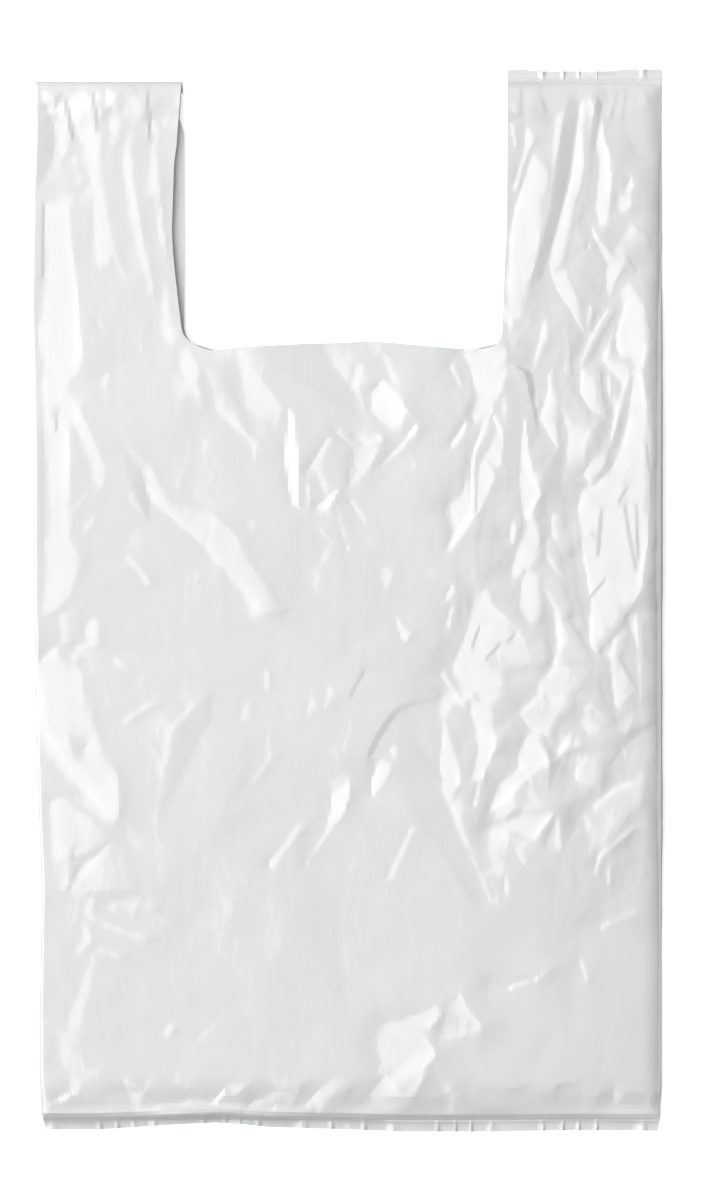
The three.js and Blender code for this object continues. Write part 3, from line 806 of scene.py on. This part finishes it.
def film_finish():
    """Glossy white film: faint streaks along the bag, clouded gloss and hair-fine wrinkles."""
    material = bpy.data.materials.new("white_film")
    material.use_nodes = True
    nodes, links = material.node_tree.nodes, material.node_tree.links
    shader = nodes["Principled BSDF"]
    shader.inputs["IOR"].default_value = 1.7
    place = nodes.new("ShaderNodeTexCoord")

    def noise(scale, stretch, detail):
        turn = nodes.new("ShaderNodeMapping")
        turn.inputs["Scale"].default_value = stretch
        grain = nodes.new("ShaderNodeTexNoise")
        grain.inputs["Scale"].default_value = scale
        grain.inputs["Detail"].default_value = detail
        links.new(place.outputs["Object"], turn.inputs["Vector"])
        links.new(turn.outputs["Vector"], grain.inputs["Vector"])
        return grain.outputs["Fac"]

    streaks = nodes.new("ShaderNodeMapRange")
    streaks.inputs["To Min"].default_value = 0.0
    streaks.inputs["To Max"].default_value = 1.0
    links.new(noise(90.0, (1.0, 0.06, 1.0), 3.0), streaks.inputs["Value"])
    tint = nodes.new("ShaderNodeMix")
    tint.data_type = "RGBA"
    tint.inputs["A"].default_value = (0.645, 0.65, 0.655, 1.0)
    tint.inputs["B"].default_value = (0.685, 0.687, 0.69, 1.0)
    links.new(streaks.outputs["Result"], tint.inputs["Factor"])
    links.new(tint.outputs["Result"], shader.inputs["Base Color"])

    def shards(normal, scale, rise):
        """Small flat-sided creases: steps of distance from strewn points, in two directions,
        bent out of line by noise."""
        bent = nodes.new("ShaderNodeTexNoise")
        bent.inputs["Scale"].default_value = scale * 0.7
        bend = nodes.new("ShaderNodeVectorMath")
        bend.operation = "MULTIPLY_ADD"
        bend.inputs[1].default_value = (0.012, 0.012, 0.0)
        turn = nodes.new("ShaderNodeMapping")
        turn.inputs["Rotation"].default_value = (0.0, 0.0, 0.5)
        turn.inputs["Scale"].default_value = (1.0, 0.55, 0.3)
        cells = nodes.new("ShaderNodeTexVoronoi")
        cells.distance = "CHEBYCHEV"
        cells.inputs["Scale"].default_value = scale
        links.new(place.outputs["Object"], bent.inputs["Vector"])
        links.new(bent.outputs["Color"], bend.inputs[0])
        links.new(place.outputs["Object"], bend.inputs[2])
        links.new(bend.outputs["Vector"], turn.inputs["Vector"])
        links.new(turn.outputs["Vector"], cells.inputs["Vector"])
        rising = nodes.new("ShaderNodeBump")
        rising.inputs["Strength"].default_value = 1.0
        rising.inputs["Distance"].default_value = rise
        links.new(cells.outputs["Distance"], rising.inputs["Height"])
        links.new(normal, rising.inputs["Normal"])
        links.new(rising.outputs["Normal"], shader.inputs["Normal"])

    gloss = nodes.new("ShaderNodeMapRange")
    gloss.inputs["From Min"].default_value = 0.3
    gloss.inputs["From Max"].default_value = 0.7
    gloss.inputs["To Min"].default_value = 0.07
    gloss.inputs["To Max"].default_value = 0.15
    links.new(noise(60.0, (1.0, 0.5, 1.0), 4.0), gloss.inputs["Value"])
    links.new(gloss.outputs["Result"], shader.inputs["Roughness"])

    grain = nodes.new("ShaderNodeBump")
    grain.inputs["Strength"].default_value = 0.25
    grain.inputs["Distance"].default_value = 0.00012
    links.new(noise(260.0, (1.0, 0.45, 1.0), 4.0), grain.inputs["Height"])
    shards(grain.outputs["Normal"], 105.0, 0.00014)
    return material


film = bpy.data.objects.new("carrier_bag_film", film_mesh())
bpy.context.scene.collection.objects.link(film)
film.data.materials.append(film_finish())
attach(film, "root")
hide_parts("bag_film")


# ---------------------------------------------------------------- floor, light and camera

SKY = (0.06, 0.65)  # brightness at the horizon and overhead
SKY_TILT = (0.6, 1.4)  # its share towards the bottom of the bag and towards the handles
PANEL = (-0.10, -0.13, -0.38)  # how far to the left it starts, its edge ends and it is full
PANEL_LIGHT = (1.1, 1.2)  # brightness that its edge gives, and that it gains from there
CAMERA_HEIGHT = 4.0  # metres over the floor
FRAME_LENGTH = 0.5352  # metres of the bag's length in view


def floor():
    """A plain white floor, a flat square. It throws less light back at the bag than it shows."""
    half = 4.0
    mesh = bpy.data.meshes.new("floor")
    mesh.from_pydata([(-half, -half, 0), (half, -half, 0), (half, half, 0), (-half, half, 0)], [],
                     [(0, 1, 2, 3)])
    plane = bpy.data.objects.new("floor", mesh)
    bpy.context.scene.collection.objects.link(plane)
    paint = bpy.data.materials.new("floor_white")
    paint.use_nodes = True
    shader = paint.node_tree.nodes["Principled BSDF"]
    shader.inputs["Base Color"].default_value = (0.88, 0.88, 0.88, 1.0)
    shader.inputs["Roughness"].default_value = 0.9
    shader.inputs["Specular IOR Level"].default_value = 0.1
    shader.inputs["Emission Color"].default_value = (1.0, 1.0, 1.0, 1.0)
    shader.inputs["Emission Strength"].default_value = 0.54
    dim = paint.node_tree.nodes.new("ShaderNodeBsdfDiffuse")
    dim.inputs["Color"].default_value = (0.45, 0.45, 0.45, 1.0)
    ray = paint.node_tree.nodes.new("ShaderNodeLightPath")
    either = paint.node_tree.nodes.new("ShaderNodeMixShader")
    links = paint.node_tree.links
    links.new(ray.outputs["Is Camera Ray"], either.inputs["Fac"])
    links.new(dim.outputs["BSDF"], either.inputs[1])
    links.new(shader.outputs["BSDF"], either.inputs[2])
    links.new(either.outputs["Shader"], paint.node_tree.nodes["Material Output"].inputs["Surface"])
    mesh.materials.append(paint)


def area_light(name, place, aim, width, length, radiance):
    """A flat rectangular light at place, facing aim, with the given brightness of its face. Its
    width is level and its length tilts. Gloss doesn't mirror it."""
    lamp = bpy.data.lights.new(name, "AREA")
    lamp.shape = "RECTANGLE"
    lamp.size = width
    lamp.size_y = length
    lamp.energy = radiance * math.pi * width * length
    holder = bpy.data.objects.new(name, lamp)
    holder.location = place
    holder.visible_glossy = False
    holder.rotation_euler = (Vector(aim) - Vector(place)).to_track_quat("-Z", "Y").to_euler()
    bpy.context.scene.collection.objects.link(holder)


def surroundings():
    """A studio: a soft grey sky, brightest overhead and brighter towards the handles, and a wide
    white panel at the left.

    The panel starts with an edge near overhead, grows brighter away from it and fades low down
    and at its two ends. Where the camera looks past the floor, all is white.
    """
    world = bpy.data.worlds.new("studio")
    world.use_nodes = True
    nodes, links = world.node_tree.nodes, world.node_tree.links
    back = nodes["Background"]
    back.inputs["Color"].default_value = (0.995, 0.998, 1.0, 1.0)
    ray = nodes.new("ShaderNodeLightPath")
    way = nodes.new("ShaderNodeTexCoord")
    parts = nodes.new("ShaderNodeSeparateXYZ")
    links.new(way.outputs["Generated"], parts.inputs["Vector"])

    def ramp(source, start, end, low, high):
        step = nodes.new("ShaderNodeMapRange")
        step.inputs["From Min"].default_value = start
        step.inputs["From Max"].default_value = end
        step.inputs["To Min"].default_value = low
        step.inputs["To Max"].default_value = high
        links.new(source, step.inputs["Value"])
        return step.outputs["Result"]

    def combined(operation, first, second):
        step = nodes.new("ShaderNodeMath")
        step.operation = operation
        links.new(first, step.inputs[0])
        links.new(second, step.inputs[1])
        return step.outputs["Value"]

    overhead = ramp(parts.outputs["Z"], 0.0, 1.0, *SKY)
    overhead = combined("MULTIPLY", overhead, ramp(parts.outputs["Y"], -1.0, 1.0, *SKY_TILT))
    edge = ramp(parts.outputs["X"], PANEL[0], PANEL[1], 0.0, PANEL_LIGHT[0])
    panel = combined("ADD", edge, ramp(parts.outputs["X"], PANEL[0], PANEL[2], 0.0, PANEL_LIGHT[1]))
    panel = combined("MULTIPLY", panel, ramp(parts.outputs["Z"], 0.35, 0.75, 0.0, 1.0))
    panel = combined("MULTIPLY", panel, ramp(parts.outputs["Y"], 0.55, 0.8, 1.0, 0.0))
    panel = combined("MULTIPLY", panel, ramp(parts.outputs["Y"], -0.8, -0.45, 0.0, 1.0))
    tone = nodes.new("ShaderNodeMix")
    tone.inputs["B"].default_value = 1.0
    links.new(combined("ADD", overhead, panel), tone.inputs["A"])
    links.new(ray.outputs["Is Camera Ray"], tone.inputs["Factor"])
    links.new(tone.outputs["Result"], back.inputs["Strength"])
    bpy.context.scene.world = world


def camera():
    """Straight above the bag. The lens is the sensor's width times the distance to the film's
    face over the length in view."""
    eye = bpy.data.cameras.new("camera")
    eye.sensor_width = 36.0
    face = 0.004
    eye.lens = eye.sensor_width * (CAMERA_HEIGHT - face) / FRAME_LENGTH
    holder = bpy.data.objects.new("camera", eye)
    holder.location = (0.0016, 0.0002, CAMERA_HEIGHT)
    bpy.context.scene.collection.objects.link(holder)
    bpy.context.scene.camera = holder


floor()
surroundings()
camera()
area_light("side", (-1.3, 0.8, 0.8), (0.0, 0.0, 0.0), 1.4, 0.8, 4.2)
bpy.context.scene.view_settings.view_transform = "Standard"
